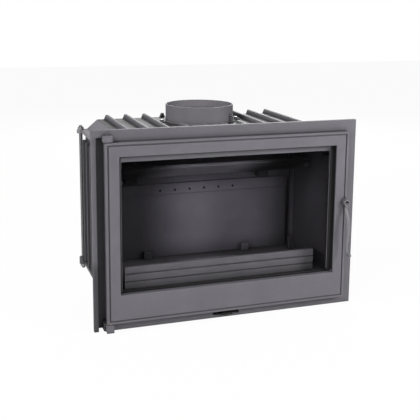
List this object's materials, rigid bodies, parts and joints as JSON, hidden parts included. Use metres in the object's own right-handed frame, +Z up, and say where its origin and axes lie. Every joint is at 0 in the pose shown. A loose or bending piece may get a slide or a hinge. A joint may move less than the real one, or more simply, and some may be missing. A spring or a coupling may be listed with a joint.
{
  "type": "fireplace insert",
  "caption": "Cast-iron fireplace insert: ribbed firebox behind a flat front frame, wide glazed door hinged on the left, latch lever on the right and a round flue collar on top.",
  "frame": {"origin": "middle of the foot of the ash box, on which the insert stands", "axes": "+X to the viewer's right across the front, +Y from the front frame to the rear wall, +Z up"},
  "size_m": [0.7, 0.4219, 0.524],
  "materials": {
    "iron": "matte anthracite stove paint",
    "liner": "matte, unmachined",
    "steel": "satin dark grey",
    "zinc": "satin zinc plated",
    "brass": "satin",
    "rope": "braided glass fibre",
    "glass": "clear ceramic glass"
  },
  "bodies": {
    "shell": {"air_rail": "liner", "ash_box": "iron", "ash_pan": "steel", "back_liner_lower": "liner", "back_liner_upper": "liner", "baffle_hook_left": "liner", "baffle_hook_right": "liner", "baffle_plate": "liner", "base_casting": "iron", "collar_bolt_left": "zinc", "collar_bolt_right": "zinc", "facade_bolt_1": "zinc", "facade_bolt_2": "zinc", "facade_bolt_3": "zinc", "facade_bolt_4": "zinc", "facade_frame": "iron", "flue_collar": "iron", "grate": "liner", "guard_bracket_left": "liner", "guard_bracket_right": "liner", "hinge_bracket_lower": "iron", "hinge_bracket_upper": "iron", "hinge_pin_lower": "steel", "hinge_pin_upper": "steel", "hinge_washer": "brass", "hood_plate": "iron", "log_guard": "liner", "rear_wall": "iron", "side_liner_left": "liner", "side_liner_right": "liner", "side_wall_left": "iron", "side_wall_right": "iron", "slider_guide_left": "steel", "slider_guide_right": "steel", "tie_nut_lower_left": "zinc", "tie_nut_lower_right": "zinc", "tie_nut_upper_left": "zinc", "tie_nut_upper_right": "zinc", "tie_rod_left": "steel", "tie_rod_right": "steel"},
    "door": {"door_frame": "iron", "door_rope": "rope", "door_glass": "glass", "glass_gasket": "rope", "glass_retainer_top": "steel", "glass_retainer_bottom": "steel", "retainer_screw_1": "zinc", "retainer_screw_2": "zinc", "retainer_screw_3": "zinc", "retainer_screw_4": "zinc"},
    "handle": {"handle_lever": "steel", "handle_spindle": "zinc", "latch_cam": "steel", "cam_nut": "zinc"},
    "damper": {"damper_plate": "iron", "damper_shaft": "steel"},
    "slider": {"air_slider": "steel"}
  },
  "joints": [
    {"name": "door_swing", "type": "hinge", "parent": "shell", "child": "door", "pos_m": [-0.313, -0.16125, 0.25], "axis": [0, 0, -1], "range_deg": [0, 105]},
    {"name": "handle_turn", "type": "hinge", "parent": "door", "child": "handle", "pos_m": [0.314, -0.1715, 0.287], "axis": [0, 1, 0], "range_deg": [0, 45]},
    {"name": "damper_turn", "type": "hinge", "parent": "shell", "child": "damper", "pos_m": [0, 0.1045, 0.497], "axis": [0.7071, -0.7071, 0], "range_deg": [0, 85]},
    {"name": "air_slide", "type": "slide", "parent": "shell", "child": "slider", "axis": [1, 0, 0], "range_m": [-0.02, 0.02]}
  ]
}
